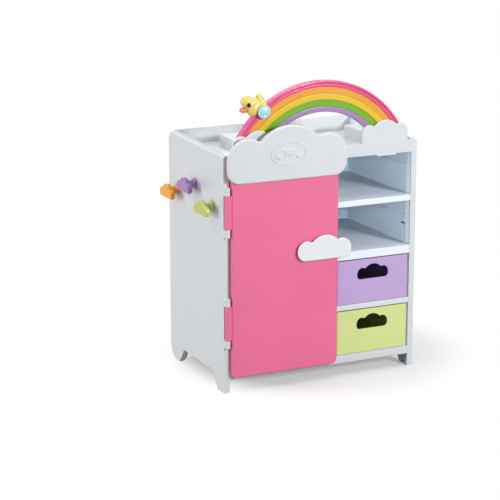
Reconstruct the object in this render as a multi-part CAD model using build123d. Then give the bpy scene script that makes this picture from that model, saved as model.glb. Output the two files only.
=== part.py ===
from build123d import *
import os
from math import cos, radians, sin, sqrt

# Doll wardrobe of snap-together moulded panels.
# Everything is drawn in cabinet coordinates: X to the right from the outer face of the left
# upright, Y to the rear from the front edges, Z up from the ground. Each finished piece is then
# moved so that the origin lies under the middle of the whole object.

# Cabinet
cabinet_width = 336.4
cabinet_depth = 212.0
upright_thickness = 9.6
shelf_bay_width = 130.4
skin = 2.2
fit_gap = 0.3
overrun = 1.0

# Stack of the shelf bay, from the ground up
foot_height = 20.2
floor_edge = 13.7
drawer_bay_height = 72.7
lower_shelf_edge = 9.5
middle_shelf_edge = 13.9
open_bay_height = 72.1
upper_shelf_edge = 10.1
top_bay_height = 69.1
rail_height = 20.0

# Outline of an upright
rear_rise = 6.2
front_foot_length = 23.0
front_foot_slant = 13.5
rear_foot_length = 33.0
rear_foot_slant = 23.0
foot_arch_height = 26.5
foot_bulge = 2.6
heel_radius = 27.0
hollow_radius = 9.0
crown_radius = 14.0
corner_radius = 3.0
outer_bevel = 2.8
upright_rib = 1.6
upright_rib_pitch = 58.0

# Liners that close the uprights
liner_thickness = 2.0
ledge_height = 5.0
ledge_depth = 2.8
ledge_above_shelf = 40.5
snap_width = 16.6
snap_height = 25.2
snap_slit = 3.2
snap_from_front = 14.6
snap_above_shelf = 7.7

# Shelves, floor and back
shelf_bevel = 0.8
shelf_rib = 1.8
shelf_rib_depth = 6.0
back_thickness = 2.2
back_recess = 4.0
block_width = 26.0
block_depth = 12.0
block_height = 14.0
block_from_side = 10.2
block_levels = (60.0, 214.5, 330.0)
screw_radius = 1.5
screw_hole_gap = 0.05
screw_head_radius = 3.2
screw_head_height = 1.8
screw_length = 12.0
screw_sides = 12

# Top tray
tray_floor_drop = 17.8
tray_tab_width = 34.0
tray_tab_height = 2.4
tray_tab_from_right = 28.0
step_height = 20.8
step_left_start = 65.2
step_left_width = 44.0
step_right_width = 43.5
step_front = 22.0
step_left_rear = 157.5
step_right_rear = 144.0

# Door and its hinges
door_left = 10.4
door_from_divider = 4.1
door_bottom = 25.1
door_top_drop = 2.0
door_thickness = 8.6
door_stand_off = 0.4
door_skin = 2.4
door_corner_radius = 8.0
door_edge_bevel = 1.2
door_rib = 1.8
door_rib_depth = 3.4
hinge_radius = 4.2
pin_radius = 1.6
pin_play = 0.05
pin_fit = 0.02
knuckle_levels = ((74.3, 85.9), (140.4, 152.7), (249.2, 261.5), (314.3, 326.5))
barrel_gap = 0.4

# Clouds
cloud_end_share = 0.168
cloud_crown_share = 0.33
cloud_peak_share = 0.515
cloud_notch_share = 0.02
handle_sides = 44
socket_sides = 36
door_cloud_base_share = 0.103
door_cloud_overhang = 12.4
door_cloud_height_share = 0.41523
door_cloud_left = 1.2
door_cloud_bottom = 331.5
door_cloud_thickness = 5.0
door_cloud_bevel = 2.0
handle_base_share = 0.15
handle_width = 93.4
handle_height = 38.8
handle_overhang = 20.8
handle_bottom = 199.8
handle_thickness = 4.0
handle_stand_off = 2.0
handle_bevel = 1.6
handle_post_width = 9.0
socket_width = 82.7
socket_height = 34.4
socket_inset = 16.5
socket_thickness = 4.0
socket_set_back = 0.4
socket_bevel = 1.2

# Drawers
drawer_left_gap = 0.8
drawer_right_gap = 3.0
drawer_top_gap = 1.2
drawer_wall = 2.2
drawer_depth = 186.0
drawer_side_height = 60.0
drawer_slope = 1.0
drawer_edge_bevel = 0.8
hand_hole_base_share = 0.114
hand_hole_width = 56.0
hand_hole_height = 24.0
hand_hole_rise = 39.0

# Clothes rail
rail_radius = 5.0
rail_level = 318.0
rail_wall = 1.4
rail_cup_wall = 2.4
rail_cup_depth = 3.6

# Knobs on the left side, as distance from the front and level
knob_reach = 22.0
knob_plate_thickness = 7.4
knob_base_share = 0.1
knob_sides = 28
knob_width = 46.0
knob_height = 22.5
knob_bevel = 1.5
knob_neck_radius = 5.6
knob_collar_radius = 8.6
knob_collar_flare = 4.6
knob_stem_sides = 16
knob_peg_radius = 3.4
knob_peg_length = 5.0
knob_peg_gap = 0.05
knob_places = {"green": (40.0, 289.6), "purple": (106.0, 312.5), "orange": (174.2, 289.3)}

# Rainbow, drawn about a centre below the tray
arch_centre_drop = 43.7
arch_side_gap = 0.2
arch_thickness = 11.2
arch_joint = 0.12
arch_bands = {
    "pink": (9.86, 0.0, 1.4),
    "orange": (9.86, 0.9, 0.0),
    "yellow": (9.86, 0.5, 0.0),
    "green": (9.86, 0.7, 0.0),
    "purple": (8.7, 0.0, 0.9),
}
arch_groove_start = 3.2
arch_groove_width = 2.6
arch_groove_depth = 1.0

# Duckling on the left shoulder of the rainbow. Its circles are sideways, upward and radius.
duck_bearing = 40.0
duck_above_rim = 8.65
duck_sides = 18
duck_head = (-14.2, 8.2, 8.7)
duck_chest = (-0.5, -3.6, 13.2)
duck_rump = (9.2, -3.6, 12.4)
duck_tail = ((6.3, 14.2, 4.6), (9.4, 10.4, 5.6), (13.2, 1.5, 6.0))
duck_beak = ((-22.6, -6.2, 2.6), (-16.4, -4.6, 5.0))
duck_thickness = 20.0
duck_rounding = 5.5
duck_tail_thickness = 11.0
duck_tail_rounding = 2.0
duck_beak_thickness = 9.5
duck_beak_rounding = 2.0
duck_eye = (-13.7, 3.0)
duck_eye_radius = 2.8
duck_eye_height = 1.0
duck_eye_bevel = 0.7
duck_eye_sides = 12
duck_wing = (11.2, -8.4)
duck_wing_radius = 10.8
duck_wing_height = 3.6
duck_wing_bevel = 2.4
duck_wing_sides = 20
duck_slot_gap = 0.15

# Levels and planes that follow from the sizes above
floor_top = foot_height + floor_edge
lower_top = floor_top + drawer_bay_height + lower_shelf_edge
middle_top = lower_top + drawer_bay_height + middle_shelf_edge
upper_top = middle_top + open_bay_height + upper_shelf_edge
rail_bottom = upper_top + top_bay_height
front_height = rail_bottom + rail_height
rear_height = front_height + rear_rise
tray_floor = front_height - tray_floor_drop
left_inner = upright_thickness
right_inner = cabinet_width - upright_thickness
divider_right = right_inner - shelf_bay_width
divider_left = divider_right - upright_thickness
back_rear = cabinet_depth - back_recess
back_front = back_rear - back_thickness
door_inner = -door_stand_off
door_front = door_inner - door_thickness
door_right = divider_right - door_from_divider
door_cloud_width = door_right + door_cloud_overhang - door_cloud_left
door_cloud_height = door_cloud_height_share * door_cloud_width
handle_left = door_right + handle_overhang - handle_width
hinge_x = hinge_radius
hinge_y = door_inner - hinge_radius
socket_rear = socket_set_back + socket_thickness
arch_front = socket_rear + fit_gap
arch_rear = arch_front + arch_thickness
arch_plane = (arch_front + arch_rear) / 2
arch_middle = cabinet_width / 2
arch_centre = tray_floor - arch_centre_drop
arch_foot = (right_inner - left_inner) / 2 - arch_side_gap
arch_outer = sqrt(arch_foot**2 + arch_centre_drop**2)
handle_front = door_front - handle_stand_off - handle_thickness
duck_distance = arch_outer + duck_above_rim
duck_turn = radians(duck_bearing)
duck_x = arch_middle - duck_distance * sin(duck_turn)
duck_z = arch_centre + duck_distance * cos(duck_turn)
rail_depth = cabinet_depth / 2
front_reach = -min(handle_front, door_front - door_cloud_thickness)
origin_x = (cabinet_width - knob_reach) / 2
origin_y = (cabinet_depth - front_reach) / 2


def block(x, y, z):
    """Box between a low and a high value on each axis."""
    corner = (Align.MIN, Align.MIN, Align.MIN)
    return Pos(x[0], y[0], z[0]) * Box(x[1] - x[0], y[1] - y[0], z[1] - z[0], align=corner)


def rod(radius, start, end):
    """Round bar from one point to another."""
    path = Vector(*end) - Vector(*start)
    return extrude(Plane(origin=start, z_dir=path) * Circle(radius), amount=path.length)


def nearest(shape, y, z):
    """Corner of a flat outline that lies nearest a point."""
    return shape.vertices().sort_by_distance((y, z, 0))[0]


def lobe(x, y, radius, sides=0):
    """Round lobe, drawn with straight sides where a count is given."""
    return Pos(x, y) * (RegularPolygon(radius, sides) if sides else Circle(radius))


def cloud(width, height, base_share, sides=0):
    """Cloud outline: two end lobes, a crown between them and a flat base with small corners."""
    end = cloud_end_share * width
    crown = cloud_crown_share * width
    foot = Pos(width / 2, end / 2) * Rectangle(width, end)
    corners = foot.vertices().group_by(Axis.Y)[0]
    if base_share:
        base = base_share * width
        foot = chamfer(corners, base / 2) if sides else fillet(corners, base)
    outline = foot + lobe(end, end, end, sides) + lobe(width - end, end, end, sides)
    between_ends = Pos(width / 2, height / 2) * Rectangle(width - 2 * end, height)
    outline += lobe(cloud_peak_share * width, height - crown, crown, sides) & between_ends
    if sides:
        return outline
    notches = [corner for corner in outline.vertices() if corner.Y > end + overrun]
    return fillet(notches, cloud_notch_share * width)


def facing_front(corner):
    """Upright plane through a point, seen from the front."""
    return Plane(origin=corner, x_dir=(1, 0, 0), z_dir=(0, -1, 0))


def front_plate(outline, left, bottom, front, thickness, bevel):
    """Flat plate facing the front, with its front edge bevelled."""
    plate = extrude(facing_front((left, front, bottom)) * outline, amount=-thickness)
    return chamfer(plate.edges().group_by(Axis.Y)[0], bevel)


def soften_front(piece, bevel):
    """Bevel the long edges of a piece's front face."""
    front = piece.edges().group_by(Axis.Y)[0]
    return chamfer(front.filter_by(Axis.X), bevel)


def upright_outline():
    """Side view of an upright: two feet, a round heel and a round rear top corner."""
    rear_foot_start = cabinet_depth - rear_foot_length
    front_toe, rear_toe = (front_foot_length, 0), (rear_foot_start, 0)
    front_arch = (front_foot_length + front_foot_slant, foot_arch_height)
    rear_arch = (rear_foot_start - rear_foot_slant, foot_arch_height)
    shell = Polyline(
        rear_toe, (cabinet_depth, 0), (cabinet_depth, rear_height), (0, front_height), (0, 0), front_toe
    )
    front_flank = SagittaArc(front_toe, front_arch, -foot_bulge)
    rear_flank = SagittaArc(rear_arch, rear_toe, -foot_bulge)
    outline = make_face(shell + front_flank + Line(front_arch, rear_arch) + rear_flank)
    outline = fillet(nearest(outline, cabinet_depth, 0), heel_radius)
    outline = fillet(nearest(outline, cabinet_depth, rear_height), crown_radius)
    for corner in (front_arch, rear_arch):
        outline = fillet(nearest(outline, *corner), corner_radius)
    return outline


def rib_grid(x, y, z, pitch, rib):
    """Crossed ribs that fill a box-shaped space."""
    ribs = []
    rows = int((z[1] - z[0]) / pitch)
    columns = int((y[1] - y[0]) / pitch)
    for row in range(1, rows + 1):
        level = z[0] + row * (z[1] - z[0]) / (rows + 1)
        ribs.append(block(x, y, (level - rib / 2, level + rib / 2)))
    for column in range(1, columns + 1):
        place = y[0] + column * (y[1] - y[0]) / (columns + 1)
        ribs.append(block(x, (place - rib / 2, place + rib / 2), z))
    return ribs


def upright_shell():
    """Outer shell of an upright with its outer face on X = 0, open towards the cabinet."""
    outline = upright_outline()
    shell = extrude(Plane.YZ * outline, amount=upright_thickness)
    outer_edges = shell.edges().group_by(Axis.X)[0]
    top_and_rear = outer_edges.filter_by(lambda edge: edge.center().Z > front_height - crown_radius)
    top_and_rear += outer_edges.filter_by(lambda edge: edge.center().Y > cabinet_depth - crown_radius)
    shell = chamfer(set(top_and_rear), outer_bevel)
    inside = offset(outline, -skin)
    inside = fillet(nearest(inside, skin, skin), hollow_radius)
    hollow = extrude(Plane.YZ * inside, amount=upright_thickness + overrun)
    hollow = Pos(skin, 0, 0) * hollow
    grid = rib_grid(
        (skin, upright_thickness - liner_thickness),
        (0, cabinet_depth),
        (foot_height, rear_height),
        upright_rib_pitch,
        upright_rib,
    )
    pockets = hollow
    for rib in grid:
        pockets -= rib
    return shell - pockets


def ledges(face, towards, tops):
    """Small ledges along a bay's wall, one above each shelf."""
    low, high = sorted((face, face + towards * ledge_depth))
    depth = (skin + fit_gap, back_front - fit_gap)
    return [
        block((low, high), depth, (top + ledge_above_shelf, top + ledge_above_shelf + ledge_height))
        for top in tops
    ]


def snap_slit_cutter(face, towards):
    """Slit in the form of a staple that frees a spring tongue in a liner."""
    low, high = sorted((face - towards * (liner_thickness + overrun), face + towards * overrun))
    near, far = snap_from_front, snap_from_front + snap_width
    base = middle_top + snap_above_shelf
    top = base + snap_height
    outer = block((low, high), (near, far), (base, top))
    tongue = block((low, high), (near + snap_slit, far - snap_slit), (base, top - snap_slit))
    return outer - tongue


def upright_liner():
    """Plate that closes the left upright's shell on the inside, above the feet."""
    outline = offset(upright_outline(), -(skin + fit_gap))
    plate = extrude(Plane.YZ * outline, amount=liner_thickness)
    plate = Pos(left_inner - liner_thickness, 0, 0) * plate
    above_feet = block((0, left_inner), (0, cabinet_depth), (foot_height, rear_height))
    return plate & above_feet


def mirrored(piece):
    """The same piece on the other side of the cabinet."""
    return mirror(piece, about=Plane(origin=(cabinet_width / 2, 0, 0), z_dir=(1, 0, 0)))


def rail_cup(face, towards):
    """Open ring on a wall that holds an end of the clothes rail."""
    start = (face, rail_depth, rail_level)
    end = (face + towards * rail_cup_depth, rail_depth, rail_level)
    bore = rail_radius + fit_gap
    return rod(bore + rail_cup_wall, start, end) - rod(bore, start, end)


def hinge_knuckles():
    """Four knuckles on the left upright's front edge, bored for the hinge pins."""
    knuckles = []
    for low, high in knuckle_levels:
        arm = block((0, 2 * hinge_radius), (hinge_y, overrun), (low, high))
        eye = rod(hinge_radius, (hinge_x, hinge_y, low), (hinge_x, hinge_y, high))
        ends = (hinge_x, hinge_y, low - overrun), (hinge_x, hinge_y, high + overrun)
        knuckles.append(arm + eye - rod(pin_radius + pin_fit, *ends))
    return knuckles


def side_panel_left():
    """Left upright: shell, hinge knuckles and the holes of the three knobs."""
    panel = upright_shell()
    for knuckle in hinge_knuckles():
        panel += knuckle
    hole = RegularPolygon(knob_peg_radius + knob_peg_gap, knob_stem_sides)
    for place, level in knob_places.values():
        root = Plane(origin=(0, place, level), z_dir=(-1, 0, 0))
        panel -= extrude(root * hole, amount=-(knob_peg_length + overrun))
    return panel


def side_liner_left():
    return upright_liner() + rail_cup(left_inner, 1)


def side_liner_right():
    """Right liner with the ledges of the two open bays and a spring tongue."""
    liner = mirrored(upright_liner())
    for ledge in ledges(right_inner, -1, (middle_top, upper_top)):
        liner += ledge
    return liner - snap_slit_cutter(right_inner, -1)


def divider_shell():
    """Upright between wardrobe and shelves, open towards the wardrobe."""
    x = (divider_left, divider_right)
    y = (0, back_front)
    z = (floor_top, rail_bottom)
    shell = block(x, y, z)
    pocket_y = (skin, back_front - skin)
    pocket_z = (floor_top + skin, rail_bottom - skin)
    pocket = block((divider_left - overrun, divider_right - skin), pocket_y, pocket_z)
    inner = (divider_left + liner_thickness, divider_right - skin)
    for rib in rib_grid(inner, pocket_y, pocket_z, upright_rib_pitch, upright_rib):
        pocket -= rib
    shell -= pocket
    for ledge in ledges(divider_right, 1, (middle_top, upper_top)):
        shell += ledge
    return shell


def divider_liner():
    """Plate that closes the divider on the wardrobe side, with the rail's second cup."""
    x = (divider_left, divider_left + liner_thickness)
    y = (skin + fit_gap, back_front - skin - fit_gap)
    z = (floor_top + skin + fit_gap, rail_bottom - skin - fit_gap)
    return block(x, y, z) + rail_cup(divider_left, -1)


def ribbed_shelf(x, top, edge):
    """Shelf as a plate with a skirt on all four sides and ribs beneath."""
    y = (0, back_front)
    shelf = soften_front(block(x, y, (top - edge, top)), shelf_bevel)
    inner_x = (x[0] + skin, x[1] - skin)
    inner_y = (skin, back_front - skin)
    shelf -= block(inner_x, inner_y, (top - edge - overrun, top - skin))
    count = max(1, int((x[1] - x[0]) / upright_rib_pitch))
    rib_z = (top - skin - min(shelf_rib_depth, edge - skin), top - skin)
    for index in range(1, count + 1):
        middle = x[0] + index * (x[1] - x[0]) / (count + 1)
        shelf += block((middle - shelf_rib / 2, middle + shelf_rib / 2), inner_y, rib_z)
    return shelf


def screw_places():
    """Six screws: three up each side of the back panel."""
    from_side = block_from_side + block_width / 2
    sides = (left_inner + from_side, right_inner - from_side)
    return [(x, level) for x in sides for level in block_levels]


def back_panel():
    """Back plate with a turned rim and six screw blocks."""
    x = (left_inner, right_inner)
    z = (foot_height, rear_height)
    panel = block(x, (back_front, back_rear), z)
    for place, level in screw_places():
        reach = (place - block_width / 2, place + block_width / 2)
        height = (level - block_height / 2, level + block_height / 2)
        panel += block(reach, (back_front - block_depth, back_front), height)
    hole = RegularPolygon(screw_radius + screw_hole_gap, screw_sides)
    for place, level in screw_places():
        start = (place, back_front - block_depth - overrun, level)
        drill = Plane(origin=start, z_dir=(0, 1, 0)) * hole
        panel -= extrude(drill, amount=back_rear - start[1] + overrun)
    return panel


def back_screws():
    """Pan-head screws on the back panel, as separate solids."""
    screws = []
    for place, level in screw_places():
        seat = Plane(origin=(place, back_rear, level), z_dir=(0, 1, 0))
        shank = extrude(seat * RegularPolygon(screw_radius, screw_sides), amount=-screw_length)
        head = extrude(seat * RegularPolygon(screw_head_radius, screw_sides), amount=screw_head_height)
        screws.append(shank + head)
    return screws


def top_tray():
    """Tray between the uprights: front rail, floor and two raised steps behind the rainbow's feet."""
    x = (left_inner, right_inner)
    floor = block(x, (0, back_front), (tray_floor - skin, tray_floor))
    tray = floor + soften_front(block(x, (0, skin), (rail_bottom, front_height)), shelf_bevel)
    tray += block(x, (back_front - skin, back_front), (rail_bottom, rear_height))
    tab_right = right_inner - tray_tab_from_right
    tab_x = (tab_right - tray_tab_width, tab_right)
    tray += block(tab_x, (0, skin), (rail_bottom - tray_tab_height, rail_bottom))
    steps = (
        (step_left_start, step_left_start + step_left_width, step_left_rear),
        (right_inner - step_right_width, right_inner, step_right_rear),
    )
    for low, high, rear in steps:
        tray += block((low, high), (step_front, rear), (tray_floor, tray_floor + step_height))
        tray -= block(
            (low + skin, high - skin),
            (step_front + skin, rear - skin),
            (tray_floor - skin - overrun, tray_floor + step_height - skin),
        )
    return tray


def door_panel():
    """Door as a tray-shaped shell with ribs on its inside and two hinge barrels on its left edge."""
    width = door_right - door_left
    height = front_height - door_top_drop - door_bottom
    outline = Pos(width / 2, height / 2) * RectangleRounded(width, height, door_corner_radius)
    door = front_plate(outline, door_left, door_bottom, door_front, door_thickness, door_edge_bevel)
    inner = Pos(width / 2, height / 2) * RectangleRounded(
        width - 2 * door_skin, height - 2 * door_skin, door_corner_radius - door_skin
    )
    corner = (door_left, door_front + door_skin, door_bottom)
    door -= extrude(facing_front(corner) * inner, amount=-door_thickness)
    rib_y = (door_front + door_skin, door_front + door_skin + door_rib_depth)
    middle = (door_left + door_right) / 2
    top = door_bottom + height
    rib_z = (door_bottom + door_skin, top - door_skin)
    door += block((middle - door_rib / 2, middle + door_rib / 2), rib_y, rib_z)
    rib_x = (door_left + door_skin, door_right - door_skin)
    for level in (middle_top, lower_top, upper_top):
        door += block(rib_x, rib_y, (level - door_rib / 2, level + door_rib / 2))
    web_x = (hinge_x, door_left + door_skin)
    web_y = (hinge_y - hinge_radius + door_edge_bevel, hinge_y + hinge_radius)
    for lower, upper in (knuckle_levels[:2], knuckle_levels[2:]):
        low, high = lower[1] + barrel_gap, upper[0] - barrel_gap
        door += block(web_x, web_y, (low, high))
        door += rod(hinge_radius, (hinge_x, hinge_y, low), (hinge_x, hinge_y, high))
        ends = (hinge_x, hinge_y, low - overrun), (hinge_x, hinge_y, high + overrun)
        door -= rod(pin_radius + pin_play, *ends)
    return door


def hinge_pin(lower, upper):
    return rod(pin_radius, (hinge_x, hinge_y, lower[0]), (hinge_x, hinge_y, upper[1]))


def door_cloud():
    outline = cloud(door_cloud_width, door_cloud_height, door_cloud_base_share)
    front = door_front - door_cloud_thickness
    corner = (door_cloud_left, door_cloud_bottom, front)
    return front_plate(outline, *corner, door_cloud_thickness, door_cloud_bevel)


def door_handle():
    """Cloud handle that stands off the door on two posts and reaches past its edge."""
    outline = cloud(handle_width, handle_height, handle_base_share, handle_sides)
    corner = (handle_left, handle_bottom, handle_front)
    handle = front_plate(outline, *corner, handle_thickness, handle_bevel)
    end = cloud_end_share * handle_width
    level = handle_bottom + end
    post_y = (door_front - handle_stand_off, door_front)
    half = handle_post_width / 2
    for place in (handle_left + end, door_right - end):
        handle += block((place - half, place + half), post_y, (level - half, level + half))
    return handle


def drawer(shelf_top):
    """Open drawer with a full-height front, lower sides and a cloud-shaped hand hole."""
    x = (divider_right + drawer_left_gap, right_inner - drawer_right_gap)
    bottom = shelf_top + fit_gap
    top = shelf_top + drawer_bay_height - drawer_top_gap
    side_top = bottom + drawer_side_height
    tub = block(x, (0, drawer_depth), (bottom, side_top))
    front = block(x, (0, drawer_wall), (bottom, top))
    front = chamfer(front.edges().group_by(Axis.Y)[0], drawer_edge_bevel)
    hollow = block(
        (x[0] + drawer_wall, x[1] - drawer_wall),
        (drawer_wall, drawer_depth - drawer_wall),
        (bottom + drawer_wall, side_top + overrun),
    )
    tub = tub - block(x, (0, drawer_wall), (bottom, side_top)) - hollow
    body = tub + front
    outline = cloud(hand_hole_width, hand_hole_height, hand_hole_base_share)
    left = (x[0] + x[1] - hand_hole_width) / 2
    corner = (left, -overrun, shelf_top + hand_hole_rise)
    return body - extrude(facing_front(corner) * outline, amount=-(drawer_wall + 2 * overrun))


def clothes_rail():
    """Tube that lies in the cups of the two liners."""
    start = (left_inner + fit_gap, rail_depth, rail_level)
    end = (divider_left - fit_gap, rail_depth, rail_level)
    return rod(rail_radius, start, end) - rod(rail_radius - rail_wall, start, end)


def knob(place, level):
    """Cloud-shaped plate on a flared neck, with a peg that enters the side panel."""
    tip = -knob_reach
    outline = cloud(knob_width, knob_height, knob_base_share, knob_sides)
    corner = (tip, place + knob_width / 2, level - knob_height / 2)
    facing_left = Plane(origin=corner, x_dir=(0, -1, 0), z_dir=(-1, 0, 0))
    plate = extrude(facing_left * outline, amount=-knob_plate_thickness)
    plate = chamfer(plate.edges().group_by(Axis.X)[0], knob_bevel)
    root = Plane(origin=(0, place, level), z_dir=(-1, 0, 0))
    bars = (
        (knob_peg_radius, -knob_peg_length),
        (knob_collar_radius, knob_collar_flare),
        (knob_neck_radius, knob_reach - knob_plate_thickness),
    )
    stem = Part()
    for radius, reach in bars:
        stem += extrude(root * RegularPolygon(radius, knob_stem_sides), amount=reach)
    return plate + stem


def arch_socket(centre_x):
    """Cloud-shaped plate behind the front rail that hides a foot of the rainbow."""
    outline = cloud(socket_width, socket_height, 0, socket_sides)
    left = centre_x - socket_width / 2
    plate = front_plate(outline, left, front_height, socket_set_back, socket_thickness, socket_bevel)
    end = cloud_end_share * socket_width
    tongue_x = (left + end, left + socket_width - end)
    return plate + block(tongue_x, (skin + arch_joint, socket_rear), (tray_floor, front_height + end))


def arch_disc(radius, front, rear):
    """Disc about the rainbow's centre, between two planes."""
    return rod(radius, (arch_middle, rear, arch_centre), (arch_middle, front, arch_centre))


def rainbow_band(outer, width, set_back, bevel):
    """Half ring that stands on the tray, with bevelled front edges."""
    reach = arch_outer + overrun
    above_tray = Pos(0, arch_centre_drop + reach / 2) * Rectangle(2 * reach, reach)
    bow = (Circle(outer) - Circle(outer - width)) & above_tray
    plane = facing_front((arch_middle, arch_front + set_back, arch_centre))
    band = extrude(plane * bow, amount=set_back - arch_thickness)
    rims = band.edges().group_by(Axis.Y)[0].filter_by(GeomType.CIRCLE)
    return chamfer(rims, bevel) if bevel else band


def rainbow_bands():
    """Bands of the rainbow by colour, the outer one with a groove round its front."""
    bands = {}
    outer = arch_outer
    for colour, (width, set_back, bevel) in arch_bands.items():
        bands[colour] = rainbow_band(outer, width, set_back, bevel)
        outer -= width + arch_joint
    near, far = arch_outer - arch_groove_start, arch_outer - arch_groove_start - arch_groove_width
    section = make_face(Polyline((near, 0), ((near + far) / 2, arch_groove_depth), (far, 0), close=True))
    bands["pink"] -= Pos(arch_middle, arch_front, arch_centre) * revolve(section, axis=Axis.Y)
    return bands


def duck_disc(circles):
    """Flat outline drawn tightly round a few circles."""
    rounds = [lobe(duck_x + side, duck_z + up, r, duck_sides) for side, up, r in circles]
    return make_hull(ShapeList(edge for disc in rounds for edge in disc.edges()))


def duck_shape(outline, thickness, rounding):
    """Soft-edged plate centred on the rainbow's middle plane."""
    shape = extrude(facing_front((0, arch_plane - thickness / 2, 0)) * outline, amount=-thickness)
    rims = shape.edges().group_by(Axis.Y)
    return chamfer(rims[0] + rims[-1], rounding)


def duck_body():
    """Head, body and tail of the duckling, slotted over the rainbow's rim."""
    outline = duck_disc((duck_head, duck_chest)) + duck_disc((duck_chest, duck_rump))
    body = duck_shape(outline, duck_thickness, duck_rounding)
    body += duck_shape(duck_disc(duck_tail), duck_tail_thickness, duck_tail_rounding)
    slot = (arch_front - duck_slot_gap, arch_rear + duck_slot_gap)
    return body - arch_disc(arch_outer + duck_slot_gap, *slot)


def duck_beak_piece():
    """Pointed beak that ends against the head."""
    beak = duck_shape(duck_disc(duck_beak), duck_beak_thickness, duck_beak_rounding)
    head = duck_disc((duck_head, duck_chest))
    return beak - duck_shape(head, duck_thickness, duck_rounding)


def duck_buttons(place, radius, height, bevel, sides):
    """Raised round button on each side of the duckling."""
    button = extrude(RegularPolygon(radius, sides), amount=height)
    button = chamfer(button.edges().group_by(Axis.Z)[-1], bevel)
    x, z = duck_x + place[0], duck_z + place[1]
    sides_y = (arch_plane - duck_thickness / 2, arch_plane + duck_thickness / 2)
    return [Plane(origin=(x, y, z), z_dir=(0, y - arch_plane, 0)) * button for y in sides_y]


def pieces():
    """Every node of the wardrobe by name."""
    parts = {
        "side_panel_left": side_panel_left(),
        "side_panel_right": mirrored(upright_shell()),
        "side_liner_left": side_liner_left(),
        "side_liner_right": side_liner_right(),
        "divider_shell": divider_shell(),
        "divider_liner": divider_liner(),
        "floor_panel": ribbed_shelf((left_inner, right_inner), floor_top, floor_edge),
        "shelf_lower": ribbed_shelf((divider_right, right_inner), lower_top, lower_shelf_edge),
        "shelf_middle": ribbed_shelf((divider_right, right_inner), middle_top, middle_shelf_edge),
        "shelf_upper": ribbed_shelf((divider_right, right_inner), upper_top, upper_shelf_edge),
        "back_panel": back_panel(),
        "back_screws": back_screws(),
        "top_tray": top_tray(),
        "door_panel": door_panel(),
        "door_cloud": door_cloud(),
        "door_handle": door_handle(),
        "hinge_pin_lower": hinge_pin(*knuckle_levels[:2]),
        "hinge_pin_upper": hinge_pin(*knuckle_levels[2:]),
        "drawer_lower": drawer(floor_top),
        "drawer_upper": drawer(lower_top),
        "clothes_rail": clothes_rail(),
        "duck_body": duck_body(),
        "duck_beak": duck_beak_piece(),
        "duck_eyes": duck_buttons(
            duck_eye, duck_eye_radius, duck_eye_height, duck_eye_bevel, duck_eye_sides
        ),
        "duck_wings": duck_buttons(
            duck_wing, duck_wing_radius, duck_wing_height, duck_wing_bevel, duck_wing_sides
        ),
    }
    for colour, (place, level) in knob_places.items():
        parts["knob_" + colour] = knob(place, level)
    socket_x = socket_inset + socket_width / 2
    parts["arch_socket_left"] = arch_socket(socket_x)
    parts["arch_socket_right"] = arch_socket(cabinet_width - socket_x)
    for colour, band in rainbow_bands().items():
        parts["rainbow_" + colour] = band
    return parts


os.makedirs("parts", exist_ok=True)
to_origin = Pos(-origin_x, -origin_y, 0)
for name, piece in pieces().items():
    if isinstance(piece, list):
        piece = Compound(children=piece)
    export_step(to_origin * piece, "parts/" + name + ".step")
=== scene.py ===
"""Looks of a toy wardrobe in moulded plastic: cabinet, clouds, door, drawers, knobs, rainbow and duckling."""

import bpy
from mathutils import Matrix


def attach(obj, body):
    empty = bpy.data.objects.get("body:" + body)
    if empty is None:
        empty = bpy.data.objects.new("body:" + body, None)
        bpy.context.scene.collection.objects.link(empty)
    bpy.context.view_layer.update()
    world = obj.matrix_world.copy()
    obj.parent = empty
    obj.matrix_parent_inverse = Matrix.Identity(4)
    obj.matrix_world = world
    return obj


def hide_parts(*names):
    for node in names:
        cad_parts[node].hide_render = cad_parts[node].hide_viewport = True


bl_info = {
    "name": "Toy Wardrobe",
    "version": (1, 0, 0),
    "blender": (4, 5, 0),
    "location": "3D View > Sidebar > Wardrobe",
    "description": "Builds the visible pieces, finishes and studio of a toy wardrobe round its CAD frame",
    "category": "Add Mesh",
}

from math import asin, atan2, cos, hypot, pi, radians, sin, sqrt, tan

import bmesh
import bpy
from mathutils import Matrix, Vector

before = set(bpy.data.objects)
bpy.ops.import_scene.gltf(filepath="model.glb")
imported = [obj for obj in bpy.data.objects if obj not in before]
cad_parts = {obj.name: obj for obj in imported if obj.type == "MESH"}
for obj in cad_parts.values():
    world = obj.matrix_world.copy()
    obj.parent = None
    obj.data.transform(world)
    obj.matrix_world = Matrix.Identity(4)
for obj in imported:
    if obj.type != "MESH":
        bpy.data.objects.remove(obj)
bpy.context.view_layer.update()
MM = 0.001

# The CAD drawing starts at the cabinet's front left corner on the ground. These shifts bring its
# millimetres into the frame.
DRAWING_X = 157.2
DRAWING_Y = 98.5


def place(x, y, z):
    """Frame position of a point of the drawing, which is in millimetres from the cabinet's corner."""
    return Vector(((x - DRAWING_X) * MM, (y - DRAWING_Y) * MM, z * MM))


def drawn(point):
    """Drawing position, in millimetres, of a point of the frame."""
    return point.x / MM + DRAWING_X, point.y / MM + DRAWING_Y, point.z / MM


# Colours and sizes


def linear(colour):
    """Linear RGBA of an sRGB hex colour."""
    channels = [int(colour[i : i + 2], 16) / 255 for i in (1, 3, 5)]
    return [c / 12.92 if c <= 0.04045 else ((c + 0.055) / 1.055) ** 2.4 for c in channels] + [1.0]


def colour_setting(name, description, colour):
    return bpy.props.FloatVectorProperty(
        name=name, description=description, subtype="COLOR", size=4, min=0, max=1, default=linear(colour)
    )


def length_setting(name, description, millimetres):
    return bpy.props.FloatProperty(
        name=name, description=description, unit="LENGTH", default=millimetres * MM, min=0, precision=5
    )


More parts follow.
